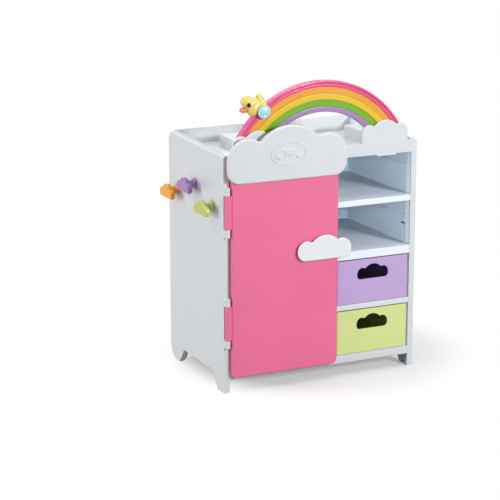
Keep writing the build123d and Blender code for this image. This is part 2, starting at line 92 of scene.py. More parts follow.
class WardrobeColours(bpy.types.PropertyGroup):
    """Colours of the moulded parts, with painted light and shade in the handle, inner and shelf whites."""

    white: colour_setting("White", "Uprights, tray and clouds", "#CFD3D6")
    # Painted light: the handle is the same white plastic as the cloud, drawn lighter because it catches more
    # light
    handle_white: colour_setting("Handle white", "Cloud handle", "#E0E3E7")
    # Painted light: the liners, divider, back and rail are the same white plastic, drawn brighter and bluer
    # to stand in for the light and bluish shade in the open bays
    inner_painted_light_white: colour_setting("Inner white", "Liners, divider, back and rail", "#EAF6FF")
    # Painted light: the shelves are the same white plastic, drawn bluer and a little brighter for the bluish
    # shade and the light in the bays
    shelf_white: colour_setting("Shelf white", "Shelves", "#D4DAE1")
    door: colour_setting("Door", "Door panel", "#E16990")
    upper_drawer: colour_setting("Upper drawer", "Drawer under the open bays", "#B89ECD")
    lower_drawer: colour_setting("Lower drawer", "Bottom drawer", "#CFD98D")
    knob_orange: colour_setting("Orange knob", "Rear knob", "#EA9B04")
    knob_purple: colour_setting("Purple knob", "Middle knob", "#9D70AF")
    knob_green: colour_setting("Green knob", "Front knob", "#B7BB5A")
    band_pink: colour_setting("Pink band", "Outer band of the rainbow", "#DB5083")
    band_orange: colour_setting("Orange band", "Second band of the rainbow", "#E19726")
    band_yellow: colour_setting("Yellow band", "Third band of the rainbow", "#DCB516")
    band_green: colour_setting("Green band", "Fourth band of the rainbow", "#67A601")
    band_purple: colour_setting("Purple band", "Inner band of the rainbow", "#9A79A6")
    duck: colour_setting("Duckling", "Body of the duckling", "#DFCB6C")
    beak: colour_setting("Beak", "Beak of the duckling", "#D8835A")
    wing: colour_setting("Wing", "Wings of the duckling", "#A2CCD3")
    eye: colour_setting("Eye", "Eyes of the duckling", "#120C0A")


class WardrobeSizes(bpy.types.PropertyGroup):
    """Sizes of the softened edges and small forms."""

    panel_edge: length_setting("Panel edge", "Rounding of the cabinet's edges", 0.7)
    upright_edge: length_setting("Upright edge", "Rounding of the uprights' rims and the tray's steps", 1.9)
    liner_edge: length_setting("Liner edge", "Rounding of the liners' edges", 0.15)
    door_edge: length_setting("Door edge", "Rounding of the door's edges", 1.3)
    drawer_edge: length_setting("Drawer edge", "Rounding of the drawers' edges", 0.5)
    cloud_round: length_setting("Cloud rounding", "Rounding of the big cloud's front edge", 2.4)
    star_rise: length_setting("Star rise", "Height of the raised stars on the big cloud", 0.9)


# Materials


def set_inputs(tree, node, inputs):
    """Give a node's inputs their values, and link those that are given a socket."""
    for key, value in inputs.items():
        if isinstance(value, bpy.types.NodeSocket):
            tree.links.new(value, node.inputs[key])
        else:
            node.inputs[key].default_value = value


def add_node(tree, kind, inputs=None, **settings):
    """Add a node with its settings, values and links."""
    made = tree.nodes.new(kind)
    for name, value in settings.items():
        setattr(made, name, value)
    set_inputs(tree, made, inputs or {})
    return made


def shader(name):
    """New material with its tree, object coordinates in millimetres, surface shader and output."""
    material = bpy.data.materials.new(name)
    material.use_nodes = True
    tree = material.node_tree
    tree.nodes.clear()
    coordinates = add_node(tree, "ShaderNodeTexCoord").outputs["Object"]
    to_mm = (1 / MM, 1 / MM, 1 / MM)
    in_mm = add_node(tree, "ShaderNodeMapping", {"Vector": coordinates, "Scale": to_mm}).outputs["Vector"]
    surface = add_node(tree, "ShaderNodeBsdfPrincipled")
    output = add_node(tree, "ShaderNodeOutputMaterial", {"Surface": surface.outputs[0]})
    return material, tree, in_mm, surface, output


FLOW_MARK_MM = 60
GLOSS_DRIFT = 0.04


def moulded(name, colour, roughness, grain_mm=0.7, grain_depth=0.012, drift=0.035, ior=1.53):
    """Injection-moulded ABS: a flat, even colour under a thin skin gloss.

    The steel mould is spark-eroded, so the skin has a very fine grain that breaks up reflections.
    Flow and packing leave the colour and the gloss a touch uneven over tens of millimetres.
    """
    material, tree, in_mm, surface, _ = shader(name)
    flow = add_node(tree, "ShaderNodeTexNoise", {"Vector": in_mm, "Scale": 1 / FLOW_MARK_MM, "Detail": 2.0})
    patches = {"Value": flow.outputs["Fac"], "From Min": 0.2, "From Max": 0.8}
    shade = add_node(
        tree,
        "ShaderNodeMapRange",
        {**patches, "To Min": 1 - drift, "To Max": 1.0},
        interpolation_type="SMOOTHSTEP",
    )
    tint = add_node(
        tree,
        "ShaderNodeMix",
        {"Factor": 1.0, "A": tuple(colour), "B": shade.outputs["Result"]},
        data_type="RGBA",
        blend_type="MULTIPLY",
    )
    gloss = add_node(
        tree,
        "ShaderNodeMapRange",
        {**patches, "To Min": roughness - GLOSS_DRIFT, "To Max": roughness + GLOSS_DRIFT},
        interpolation_type="SMOOTHSTEP",
    )
    # Spark-eroded grain, drawn coarser than its real 0.1 mm so that it shows
    grain = add_node(
        tree, "ShaderNodeTexNoise", {"Vector": in_mm, "Scale": 1 / grain_mm, "Detail": 3.0, "Roughness": 0.6}
    )
    bump = add_node(
        tree,
        "ShaderNodeBump",
        {"Strength": 0.5, "Distance": grain_depth * MM, "Height": grain.outputs["Fac"]},
    )
    look = {
        "Base Color": tint.outputs["Result"],
        "Roughness": gloss.outputs["Result"],
        "Normal": bump.outputs["Normal"],
        "IOR": ior,
    }
    set_inputs(tree, surface, look)
    return material


def zinc_plated():
    """Zinc-plated steel of screws and pins: bluish grey metal with a fine drawn grain along its length."""
    material, tree, in_mm, surface, _ = shader("zinc_plated_steel")
    stretched = add_node(tree, "ShaderNodeMapping", {"Vector": in_mm, "Scale": (4.0, 0.4, 0.4)})
    grain = add_node(
        tree, "ShaderNodeTexNoise", {"Vector": stretched.outputs["Vector"], "Scale": 2.0, "Detail": 4.0}
    )
    rough = add_node(
        tree, "ShaderNodeMapRange", {"Value": grain.outputs["Fac"], "To Min": 0.26, "To Max": 0.46}
    )
    plating = {"Base Color": linear("#A9AEB4"), "Metallic": 1.0, "Roughness": rough.outputs["Result"]}
    set_inputs(tree, surface, plating)
    return material


# White dots of a wing, as X and Z in the drawing, and the radii where their white begins and ends to fade
WING_DOTS = ((69.6, 440.0), (68.2, 430.6))
DOT_FULL = 1.35
DOT_END = 1.75


def painted_wing(colour):
    """Glossy pale blue paint on the wing, whose colour turns white in two round dots, one above the other.

    The brush leaves the gloss a little uneven, so the reflections waver.
    """
    material, tree, in_mm, surface, _ = shader("painted_wing")
    # Both wings carry the dots at the same place, so the depth is left out.
    flat = add_node(tree, "ShaderNodeMapping", {"Vector": in_mm, "Scale": (1.0, 0.0, 1.0)}).outputs["Vector"]
    to_upper, to_lower = (
        add_node(
            tree, "ShaderNodeVectorMath", {0: flat, 1: place(x, DRAWING_Y, z) / MM}, operation="DISTANCE"
        ).outputs["Value"]
        for x, z in WING_DOTS
    )
    nearest = add_node(tree, "ShaderNodeMath", {0: to_upper, 1: to_lower}, operation="MINIMUM").outputs[0]
    dots = add_node(
        tree,
        "ShaderNodeMapRange",
        {"Value": nearest, "From Min": DOT_FULL, "From Max": DOT_END, "To Min": 1.0, "To Max": 0.0},
    )
    tint = add_node(
        tree,
        "ShaderNodeMix",
        {"Factor": dots.outputs["Result"], "A": tuple(colour), "B": linear("#FDFEFE")},
        data_type="RGBA",
    )
    brushed = add_node(tree, "ShaderNodeTexNoise", {"Vector": in_mm, "Scale": 0.6, "Detail": 2.0})
    rough = add_node(
        tree, "ShaderNodeMapRange", {"Value": brushed.outputs["Fac"], "To Min": 0.3, "To Max": 0.42}
    )
    paint = {"Base Color": tint.outputs["Result"], "Roughness": rough.outputs["Result"], "IOR": 1.5}
    set_inputs(tree, surface, paint)
    return material


# Material of each moulded colour, its roughness, then its grain's width and depth, drift and IOR where they
# aren't the usual ones
MOULDINGS = {
    "white": ("white_abs", 0.36),
    # Lighter copy of the white for the handle: painted light
    "handle_white": ("handle_white_abs", 0.3),
    # Brighter, bluer copy of the white for the inner pieces: painted light and shade of the bays
    "inner_painted_light_white": ("cool_white_abs", 0.42),
    # Bluer copy of the white for the shelves: painted light and shade of the bays
    "shelf_white": ("shelf_white_abs", 0.38),
    "door": ("pink_abs", 0.42),
    "upper_drawer": ("lilac_abs", 0.38),
    "lower_drawer": ("lime_abs", 0.38),
    # The knobs and the rainbow come from smoother moulds, which leave a clearer gloss.
    "knob_orange": ("orange_abs", 0.24, 0.9, 0.006),
    "knob_purple": ("purple_abs", 0.24, 0.9, 0.006),
    "knob_green": ("green_abs", 0.24, 0.9, 0.006),
    "band_pink": ("rainbow_pink_abs", 0.22, 0.9, 0.005),
    "band_orange": ("rainbow_orange_abs", 0.3, 0.9, 0.005),
    "band_yellow": ("rainbow_yellow_abs", 0.3, 0.9, 0.005),
    "band_green": ("rainbow_green_abs", 0.3, 0.9, 0.005),
    "band_purple": ("rainbow_purple_abs", 0.3, 0.9, 0.005),
    # Soft vinyl, cast in a rougher mould, has a broad gloss, a coarse skin and a colour that drifts more.
    "duck": ("duckling_vinyl", 0.38, 1.2, 0.01, 0.05),
    "beak": ("beak_vinyl", 0.36, 1.0, 0.01, 0.05),
    # A drop of black enamel dries smooth: nearly black, with one small faint glint.
    "eye": ("eye_enamel", 0.12, 0.8, 0.002, 0.035, 1.25),
}
# Materials by the name of their colour
FINISHES = {}


def make_finishes(colours):
    """One finish for each colour of the toy, and one for its fastenings."""
    for part, (name, *skin_values) in MOULDINGS.items():
        FINISHES[part] = moulded(name, getattr(colours, part), *skin_values)
    FINISHES["wing"] = painted_wing(colours.wing)
    FINISHES["zinc"] = zinc_plated()


# Meshes


def loose(name, data):
    """Object of a mesh, curve, lamp or camera, linked to the scene."""
    made = bpy.data.objects.new(name, data)
    bpy.context.scene.collection.objects.link(made)
    return made


def loose_form(name, bm):
    """Object of a bmesh, which is used up."""
    mesh = bpy.data.meshes.new(name)
    bm.to_mesh(mesh)
    bm.free()
    return loose(name, mesh)


def baked(form):
    """Plain mesh of an object with its modifiers applied. The object is removed."""
    view = bpy.context.evaluated_depsgraph_get()
    mesh = bpy.data.meshes.new_from_object(form.evaluated_get(view), depsgraph=view)
    bpy.data.objects.remove(form)
    return mesh


def baked_form(form):
    """Bmesh of an object with its modifiers applied. The object is removed."""
    bm = bmesh.new()
    bm.from_mesh(baked(form))
    return bm


# Finished pieces by name
PIECES = {}


def own_piece(name, bm, finish, nodes=(), body="cabinet", sharp=50):
    """Finished piece of a bmesh, with smooth faces, sharp edges and even flats.

    It rides on a body, takes the material of its finish and stands for the CAD nodes it is given.
    """
    bmesh.ops.recalc_face_normals(bm, faces=bm.faces)
    form = loose_form(name + "_form", bm)
    for polygon in form.data.polygons:
        polygon.use_smooth = True
    form.data.set_sharp_from_angle(angle=radians(sharp))
    form.modifiers.new("even_flats", "WEIGHTED_NORMAL").keep_sharp = True
    mesh = baked(form)
    mesh.materials.clear()
    mesh.materials.append(FINISHES[finish])
    piece = loose(name, mesh)
    PIECES[name] = piece
    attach(piece, body)
    if nodes:
        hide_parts(*nodes)


def moved(bm, matrix):
    """Move, turn or scale a form."""
    bmesh.ops.transform(bm, matrix=matrix, verts=bm.verts)
    return bm


def put(bm, x, y, z):
    """Move a form from the origin to a point of the drawing."""
    return moved(bm, Matrix.Translation(place(x, y, z)))


def join(bm, other):
    """Add a second form, which is used up, to the first."""
    mesh = bpy.data.meshes.new("joined")
    other.to_mesh(mesh)
    other.free()
    bm.from_mesh(mesh)
    bpy.data.meshes.remove(mesh)
    return bm


def cut_off(bm, point, outwards):
    """Cut away what lies beyond a plane through a point, and close the cut."""
    geometry = bm.verts[:] + bm.edges[:] + bm.faces[:]
    cut = bmesh.ops.bisect_plane(bm, geom=geometry, plane_co=point, plane_no=outwards, clear_outer=True)
    edges = [item for item in cut["geom_cut"] if isinstance(item, bmesh.types.BMEdge)]
    bmesh.ops.holes_fill(bm, edges=edges)


def skin(bm, rings):
    """Close the space between rings of points with faces. A ring of one point is a pole."""
    for near, far in zip(rings, rings[1:]):
        for i in range(max(len(near), len(far))):
            corners = [ring[k % len(ring)] for ring, k in ((near, i - 1), (near, i), (far, i), (far, i - 1))]
            bm.faces.new(list(dict.fromkeys(corners)))


def box_form(low, high):
    """Box between its lowest and its highest corner."""
    bm = bmesh.new()
    bmesh.ops.create_cube(bm)
    for vertex in bm.verts:
        vertex.co = [high[axis] if vertex.co[axis] > 0 else low[axis] for axis in range(3)]
    return bm


def lathe(profile, steps=48):
    """Turned form: a closed profile of (radius, height) in millimetres, spun round the Y axis."""
    bm = bmesh.new()
    turns = [2 * pi * i / steps for i in range(steps)]
    rings = []
    for radius, along in profile:
        around = turns if radius else [0]
        rings.append([bm.verts.new((radius * cos(a) * MM, along * MM, radius * sin(a) * MM)) for a in around])
    skin(bm, rings)
    return bm


def arc_points(centre, radius, start, end, steps):
    """Points along an arc, angles in radians."""
    return [
        (centre[0] + radius * cos(a), centre[1] + radius * sin(a))
        for a in (start + (end - start) * i / steps for i in range(steps + 1))
    ]


def rounded_slab(points, thickness, front_round, back_round, steps=5):
    """Slab of an outline in X and Z, whose thickness goes back along Y, with rounded front and back edges."""
    normals = []
    for i in range(len(points)):
        ax, ay = points[i - 1]
        bx, by = points[(i + 1) % len(points)]
        size = hypot(bx - ax, by - ay)
        normals.append(((by - ay) / size, (ax - bx) / size))
    turns = [pi / 2 * i / steps for i in range(steps + 1)]
    profile = [(front_round * (1 - sin(a)), front_round * (1 - cos(a))) for a in turns]
    profile += [(back_round * (1 - cos(a)), thickness - back_round * (1 - sin(a))) for a in turns]
    bm = bmesh.new()
    rings = [
        [
            bm.verts.new(((x - inset * nx) * MM, depth * MM, (z - inset * nz) * MM))
            for (x, z), (nx, nz) in zip(points, normals)
        ]
        for inset, depth in profile
    ]
    skin(bm, rings)
    bm.faces.new(rings[0])
    bm.faces.new(rings[-1])
    return bm


# Shares of a cloud's width: the radii of its ends, its crown and its notches, and the place of its peak
CLOUD_END_SHARE = 0.168
CLOUD_CROWN_SHARE = 0.33
CLOUD_NOTCH_SHARE = 0.02
CLOUD_PEAK_SHARE = 0.515


def tangent_centre(first, first_reach, second, second_reach):
    """Centre of the circle that touches two circles from outside, on their upper side."""
    across = second - first
    gap = across.length
    along = (first_reach**2 - second_reach**2 + gap**2) / (2 * gap)
    off = sqrt(first_reach**2 - along**2)
    return first + (along * across + off * across.orthogonal()) / gap


def cloud_points(width, height, base, steps=14):
    """Outline of a cloud from its flat base up the sides and round its lobes, in millimetres."""
    end, crown, notch = (share * width for share in (CLOUD_END_SHARE, CLOUD_CROWN_SHARE, CLOUD_NOTCH_SHARE))
    left, right = Vector((end, end)), Vector((width - end, end))
    top = Vector((CLOUD_PEAK_SHARE * width, height - crown))
    left_notch = tangent_centre(left, end + notch, top, crown + notch)
    right_notch = tangent_centre(top, crown + notch, right, end + notch)

    def bearing(a, b):
        return atan2(*(b - a).yx)

    def hollow(middle, before, after):
        out, back = bearing(middle, before), bearing(middle, after)
        return arc_points(middle, notch, out, back - 2 * pi if back > out else back, steps // 2)[1:]

    return [
        *arc_points((width - base, base), base, -pi / 2, 0, steps),
        *arc_points(right, end, 0, bearing(right, right_notch), steps),
        *hollow(right_notch, right, top),
        *arc_points(top, crown, bearing(top, right_notch), bearing(top, left_notch), 3 * steps)[1:],
        *hollow(left_notch, top, left),
        *arc_points(left, end, bearing(left, left_notch), pi, steps)[1:],
        *arc_points((base, base), base, pi, 3 * pi / 2, steps),
    ]


# Node groups


def start_group(name, inputs):
    """Node group with a geometry input and output, the named inputs given and a material.

    Gives the tree, the sockets of its input node and the identifier of each named input.
    """
    tree = bpy.data.node_groups.new(name, "GeometryNodeTree")
    face = tree.interface
    face.new_socket("Geometry", in_out="INPUT", socket_type="NodeSocketGeometry")
    identifiers = {}
    for title, kind, default in (*inputs, ("Material", "NodeSocketMaterial", None)):
        socket = face.new_socket(title, in_out="INPUT", socket_type=kind)
        if default is not None:
            socket.default_value = default
        identifiers[title] = socket.identifier
    face.new_socket("Geometry", in_out="OUTPUT", socket_type="NodeSocketGeometry")
    return tree, add_node(tree, "NodeGroupInput").outputs, identifiers


def end_group(tree, given, geometry):
    """End a node group with real geometry that has its material."""
    real = add_node(tree, "GeometryNodeRealizeInstances", {"Geometry": geometry}).outputs["Geometry"]
    painted = add_node(tree, "GeometryNodeSetMaterial", {"Geometry": real, "Material": given["Material"]})
    add_node(tree, "NodeGroupOutput", {"Geometry": painted.outputs["Geometry"]})


def grown(carrier, tree, identifiers, values):
    """Bmesh of what a node group makes from a carrier, which is removed."""
    modifier = carrier.modifiers.new("grown", "NODES")
    modifier.node_group = tree
    for title, value in values.items():
        modifier[identifiers[title]] = value
    return baked_form(carrier)


# Softened copies of the CAD nodes

# Angles between faces: from which an edge is sharp, under which it borders a bevel, and of a flat surface
SHARP = radians(30)
BEVEL_LIMIT = radians(60)
FLAT = radians(0.5)
# Shortest edge that is rounded, distance at which points are merged, and slack of a test for a place
SHORTEST_EDGE = 1.2
MERGED = 0.002
NEAR = 0.1
# Ledges of the open bays: how far they stand out, their height, the levels of their undersides, what
# counts as their front end, and how much further back they start than in the solids
LEDGE_DEPTH = 2.8
LEDGE_HEIGHT = 5.0
LEDGE_LEVELS = (243.2, 325.4)
LEDGE_FRONT_END = 4.0
LEDGE_START = 12.0
# Wall that the ledges stand on, and the way they face
LEDGE_WALLS = {"side_liner_right": (326.8, -1), "divider_shell": (196.4, 1)}
TRAY_FLOOR = 356.2
# Room round the two raised steps in the tray: across, and in depth
TRAY_STEPS = ((60, 115), (280, 326))
TRAY_STEPS_DEPTH = (16, 160)


def copied_solid(node):
    """Copy of a CAD node's mesh with its doubles merged and its flat faces joined."""
    bm = bmesh.new()
    bm.from_mesh(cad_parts[node].data)
    bmesh.ops.remove_doubles(bm, verts=bm.verts, dist=MERGED * MM)
    bmesh.ops.dissolve_limit(bm, angle_limit=FLAT, verts=bm.verts, edges=bm.edges)
    return bm


def soften(bm, width, picked=None, segments=2):
    """Round a solid's sharp edges, or those of them that a test picks. Short edges stay sharp."""
    sharp_edges = [
        edge
        for edge in bm.edges
        if edge.is_manifold and edge.calc_face_angle(0) > SHARP and edge.calc_length() > SHORTEST_EDGE * MM
    ]
    if picked:
        sharp_edges = [edge for edge in sharp_edges if picked(edge)]
    bmesh.ops.bevel(
        bm,
        geom=sharp_edges,
        offset=width,
        segments=segments,
        profile=0.5,
        affect="EDGES",
        clamp_overlap=True,
        miter_outer="ARC",
    )
    return bm


def on_outer_bevel(edge):
    """Whether an edge borders a 45-degree bevel, as round the outside of the uprights."""
    return edge.calc_face_angle(0) < BEVEL_LIMIT


def on_tray_step(edge):
    """Whether an edge belongs to one of the two raised steps in the tray."""
    x, y, z = drawn((edge.verts[0].co + edge.verts[1].co) / 2)
    across = any(left < x < right for left, right in TRAY_STEPS)
    return z > TRAY_FLOOR + NEAR and across and TRAY_STEPS_DEPTH[0] < y < TRAY_STEPS_DEPTH[1]


def shorten_ledges(bm, wall, towards):
    """Start a bay's ledges a little further back, in the shade of the upright's front."""
    for vertex in bm.verts:
        x, y, z = drawn(vertex.co)
        at_level = any(-NEAR < z - level < LEDGE_HEIGHT + NEAR for level in LEDGE_LEVELS)
        at_wall = -NEAR < towards * (x - wall) < LEDGE_DEPTH + NEAR
        if y < LEDGE_FRONT_END and at_level and at_wall:
            vertex.co.y += LEDGE_START * MM


def softened_piece(name, node, width, finish, body="cabinet", picked=None, broad=0.0):
    """Piece that shows a CAD node with rounded edges. The edges that a test picks take the broad rounding."""
    solid = copied_solid(node)
    if node in LEDGE_WALLS:
        shorten_ledges(solid, *LEDGE_WALLS[node])
    if picked:
        soften(solid, broad, picked, segments=4)
    own_piece(name, soften(solid, width), finish, (node,), body)


# Cabinet


class WARDROBE_OT_cabinet(bpy.types.Operator):
    """Uprights, liners, divider, shelves, floor, back, tray and clothes rail, with softened edges"""

    bl_idname = "wardrobe.cabinet"
    bl_label = "Build Cabinet"

    def execute(self, context):
        sizes = context.scene.wardrobe_sizes
        panels = {
            "LeftUpright": "side_panel_left",
            "RightUpright": "side_panel_right",
            "LeftLiner": "side_liner_left",
            "RightLiner": "side_liner_right",
            "DividerShell": "divider_shell",
            "DividerLiner": "divider_liner",
            "CabinetFloor": "floor_panel",
            "LowerShelf": "shelf_lower",
            "MiddleShelf": "shelf_middle",
            "UpperShelf": "shelf_upper",
            "CabinetBack": "back_panel",
            "TopTray": "top_tray",
            "ClothesRail": "clothes_rail",
        }
        outer = ("LeftUpright", "RightUpright", "CabinetFloor", "TopTray")
        crisp = ("LeftLiner", "RightLiner", "DividerLiner")
        broad_edges = dict.fromkeys(("LeftUpright", "RightUpright"), on_outer_bevel)
        broad_edges["TopTray"] = on_tray_step
        # The inner pieces take the copy of the white with the bays' painted light and shade
        for name, node in panels.items():
            # The shelves take the copy of the white with their painted light and shade
            softened_piece(
                name,
                node,
                sizes.liner_edge if name in crisp else sizes.panel_edge,
                "white" if name in outer else "shelf_white" if "Shelf" in name else "inner_painted_light_white",
                picked=broad_edges.get(name),
                broad=sizes.upright_edge,
            )
        return {"FINISHED"}


# Door with its clouds


class WARDROBE_OT_door(bpy.types.Operator):
    """Pink door panel with its hinge barrels"""

    bl_idname = "wardrobe.door"
    bl_label = "Build Door"

    def execute(self, context):
        width = context.scene.wardrobe_sizes.door_edge
        softened_piece("DoorPanel", "door_panel", width, "door", "door")
        return {"FINISHED"}


# A cloud's outline is its width, height and base rounding. Its slab is its thickness, front rounding and
# back rounding.
BIG_CLOUD = (203.5, 84.5, 21.0)
BIG_CLOUD_THICKNESS = 5.0
BIG_CLOUD_BACK_ROUND = 0.4
BIG_CLOUD_FRONT = -14.0
BIG_CLOUD_CORNER = (1.2, BIG_CLOUD_FRONT, 331.5)
HANDLE = (93.4, 38.8, 14.0)
HANDLE_SLAB = (2.7, 1.5, 0.5)
HANDLE_LEFT = 119.7
HANDLE_FRONT = -15.0
HANDLE_BASE = 199.8
# The handle reaches past the door's right edge, so its right post is set in from there.
DOOR_RIGHT = 192.3
HANDLE_POSTS_FRONT = -12.4
HANDLE_POST = ((0, 0), (4.6, 0), (4.6, 2.8), (5.2, 3.4), (0, 3.4))
FOOT_CLOUD = (82.7, 34.4, 1.0)
FOOT_CLOUD_SLAB = (4.0, 1.3, 0.5)
FOOT_CLOUD_FRONT = 0.4
FOOT_CLOUD_INSET = 16.5
CABINET_WIDTH = 336.4
RAIL_TOP = 374.0
# The foot clouds' points below this height sink into the rail, and are cut off at its top.
FOOT_CLOUD_LOW = 2.0
FOOT_CLOUD_SINK = 4.0
# Tongue behind a foot cloud that holds it to the rail
TONGUE_FRONT = 2.4
TONGUE_BACK = 4.35
TONGUE_EDGE = 0.3


def big_cloud(front_round):
    cloud = rounded_slab(cloud_points(*BIG_CLOUD), BIG_CLOUD_THICKNESS, front_round, BIG_CLOUD_BACK_ROUND)
    own_piece("DoorCloud", put(cloud, *BIG_CLOUD_CORNER), "white", ("door_cloud",), "door")


def cloud_handle():
    handle = rounded_slab(cloud_points(*HANDLE), *HANDLE_SLAB)
    put(handle, HANDLE_LEFT, HANDLE_FRONT, HANDLE_BASE)
    end = CLOUD_END_SHARE * HANDLE[0]
    for x in (HANDLE_LEFT + end, DOOR_RIGHT - end):
        join(handle, put(lathe(HANDLE_POST), x, HANDLE_POSTS_FRONT, HANDLE_BASE + end))
    # The handle takes the lighter copy of the white, with painted light
    own_piece("CloudHandle", handle, "handle_white", ("door_handle",), "door")


def foot_cloud(name, node, left):
    """Cloud at a foot of the rainbow, which runs square into the rail below it, and the tongue behind it."""
    points = [(x, z - FOOT_CLOUD_SINK if z < FOOT_CLOUD_LOW else z) for x, z in cloud_points(*FOOT_CLOUD)]
    cloud = put(rounded_slab(points, *FOOT_CLOUD_SLAB), left, FOOT_CLOUD_FRONT, RAIL_TOP)
    cut_off(cloud, place(0, 0, RAIL_TOP), (0, 0, -1))
    end = CLOUD_END_SHARE * FOOT_CLOUD[0]
    low = place(left + end, TONGUE_FRONT, TRAY_FLOOR)
    high = place(left + FOOT_CLOUD[0] - end, TONGUE_BACK, RAIL_TOP + end)
    tongue = soften(box_form(low, high), TONGUE_EDGE * MM)
    own_piece(name, join(cloud, tongue), "white", (node,))


# X, Z and radius of each star on the big cloud
STARS = ((102.5, 376.0, 11.0), (85.0, 369.5, 6.2), (120.0, 368.5, 6.2))
STAR_CORNERS = 10
STAR_WAIST_SHARE = 0.52
# How far along a straight side of a star it has points. None is at an end, which blunts the corners.
STAR_SIDE_SHARES = (0.1, 0.5, 0.9)
# Each ring of a star: its share of the outline, and its depth, which is a share of the rise where it is
# in front of the cloud
STAR_RINGS = ((1.0, 0.3), (1.0, 0.0), (0.94, -0.6), (0.85, -0.9))
STAR_PEAK_SHARE = 1.1
# Oval line round the stars: X and Z of its middle, half its width and height, and its section, as
# distances outwards and forwards
OVAL_MIDDLE = (102.5, 373.0)
OVAL_HALVES = (29.4, 17.8)
OVAL_SECTION = ((-0.9, -0.3), (-0.9, 0.0), (-0.45, 0.8), (0.45, 0.8), (0.9, 0.0), (0.9, -0.3))
OVAL_STEPS = 96


def raised_star(radius, rise):
    """Puffed five-pointed star: rings that narrow towards the front, closed by a low peak in the middle."""
    bm = bmesh.new()
    outline = []
    corners = []
    for k in range(STAR_CORNERS):
        turn = 2 * pi * k / STAR_CORNERS
        corners.append(Vector((sin(turn), 0, cos(turn))) * radius * (STAR_WAIST_SHARE if k % 2 else 1.0))
    for here, after in zip(corners, [*corners[1:], corners[0]]):
        outline += [here.lerp(after, share) for share in STAR_SIDE_SHARES]
    rings = []
    for scale, depth in STAR_RINGS:
        shift = Vector((0, depth * rise if depth < 0 else depth, 0))
        rings.append([bm.verts.new((point * scale + shift) * MM) for point in outline])
    peak = bm.verts.new((0, -STAR_PEAK_SHARE * rise * MM, 0))
    skin(bm, [*rings, [peak]])
    bm.faces.new(rings[0])
    return bm


def oval_line():
    """Raised oval line, a small section carried round an ellipse."""
    bm = bmesh.new()
    half, tall = OVAL_HALVES
    rings = []
    for a in (2 * pi * k / OVAL_STEPS for k in range(OVAL_STEPS)):
        section = [((half + out) * cos(a), -rise, (tall + out) * sin(a)) for out, rise in OVAL_SECTION]
        rings.append([bm.verts.new(Vector(point) * MM) for point in section])
    skin(bm, [rings[-1], *rings])
    return bm


def cloud_stars(rise):
    stars = bmesh.new()
    for x, z, radius in STARS:
        join(stars, put(raised_star(radius, rise), x, BIG_CLOUD_FRONT, z))
    join(stars, put(oval_line(), OVAL_MIDDLE[0], BIG_CLOUD_FRONT, OVAL_MIDDLE[1]))
    own_piece("CloudStars", stars, "white", body="door")


class WARDROBE_OT_clouds(bpy.types.Operator):
    """Big cloud on the door with raised stars, cloud handle, and the two clouds at the rainbow's feet"""

    bl_idname = "wardrobe.clouds"
    bl_label = "Build Clouds"

    def execute(self, context):
        sizes = context.scene.wardrobe_sizes
        big_cloud(sizes.cloud_round / MM)
        cloud_handle()
        foot_cloud("LeftFootCloud", "arch_socket_left", FOOT_CLOUD_INSET)
        foot_cloud("RightFootCloud", "arch_socket_right", CABINET_WIDTH - FOOT_CLOUD_INSET - FOOT_CLOUD[0])
        cloud_stars(sizes.star_rise / MM)
        return {"FINISHED"}


# Drawers


class WARDROBE_OT_drawers(bpy.types.Operator):
    """Lilac and lime drawers with cloud-shaped hand holes"""

    bl_idname = "wardrobe.drawers"
    bl_label = "Build Drawers"

    def execute(self, context):
        width = context.scene.wardrobe_sizes.drawer_edge
        for level, slot in (("upper", "drawer_purple"), ("lower", "drawer_green")):
            name, node = level.capitalize() + "Drawer", "drawer_" + level
            softened_piece(name, node, width, level + "_drawer", node + "_body")
        return {"FINISHED"}


# Knobs

# Colour, depth and height of each knob
KNOBS = (("orange", 174.2, 289.3), ("purple", 106.0, 312.5), ("green", 40.0, 289.6))
KNOB_CLOUD = (46.0, 22.5, 4.6)
KNOB_SLAB = (7.4, 2.0, 1.6)
KNOB_FACE = -22.0
# Stem as (radius, distance from the knob's face). Its neck flares like a trumpet towards the panel.
KNOB_FLARE = [(5.5 + 3.1 * share**3, 15.4 + 6.0 * share) for share in (k / 10 for k in range(11))]
KNOB_STEM = [(0, 6.0), (5.2, 6.0), (5.3, 9.0), *KNOB_FLARE, (8.6, 21.9)]
KNOB_PEG = [(3.4, 22.0), (3.4, 26.4), (2.8, 27.0), (0, 27.0)]


class WARDROBE_OT_knobs(bpy.types.Operator):
    """Three cloud knobs on the left side"""

    bl_idname = "wardrobe.knobs"
    bl_label = "Build Knobs"

    def execute(self, context):
        # Outline X runs to the front of the cabinet, and the slab's back faces the panel.
        facing_left = Matrix(((0, 1, 0, 0), (-1, 0, 0, 0), (0, 0, 1, 0), (0, 0, 0, 1)))
        to_middle = Matrix.Translation(Vector((-KNOB_CLOUD[0] / 2, 0, -KNOB_CLOUD[1] / 2)) * MM)
        for colour, y, z in KNOBS:
            knob = moved(rounded_slab(cloud_points(*KNOB_CLOUD), *KNOB_SLAB), to_middle)
            join(knob, lathe([*KNOB_STEM, *KNOB_PEG]))
            put(moved(knob, facing_left), KNOB_FACE, y, z)
            title = "knob_" + colour
            own_piece(colour.capitalize() + "Knob", knob, title, (title,))
        return {"FINISHED"}


# Rainbow

ARCH_MIDDLE = 168.2
ARCH_CENTRE = 312.5
ARCH_OUTER = 164.325
ARCH_FRONT = 4.7
ARCH_DEPTH = 11.2
FOOT_REACH = 143.7
# Colour, width, distance of the front face behind the pink band's, and rounding of the front edges
BANDS = (
    ("pink", 9.86, 0.0, 1.5),
    ("orange", 9.86, 1.2, 0.5),
    ("yellow", 9.86, 0.3, 1.2),
    ("green", 9.86, 1.2, 0.5),
    ("purple", 8.7, 0.0, 1.5),
)
BAND_JOINT = 0.12
BAND_BACK_EDGE = 0.3
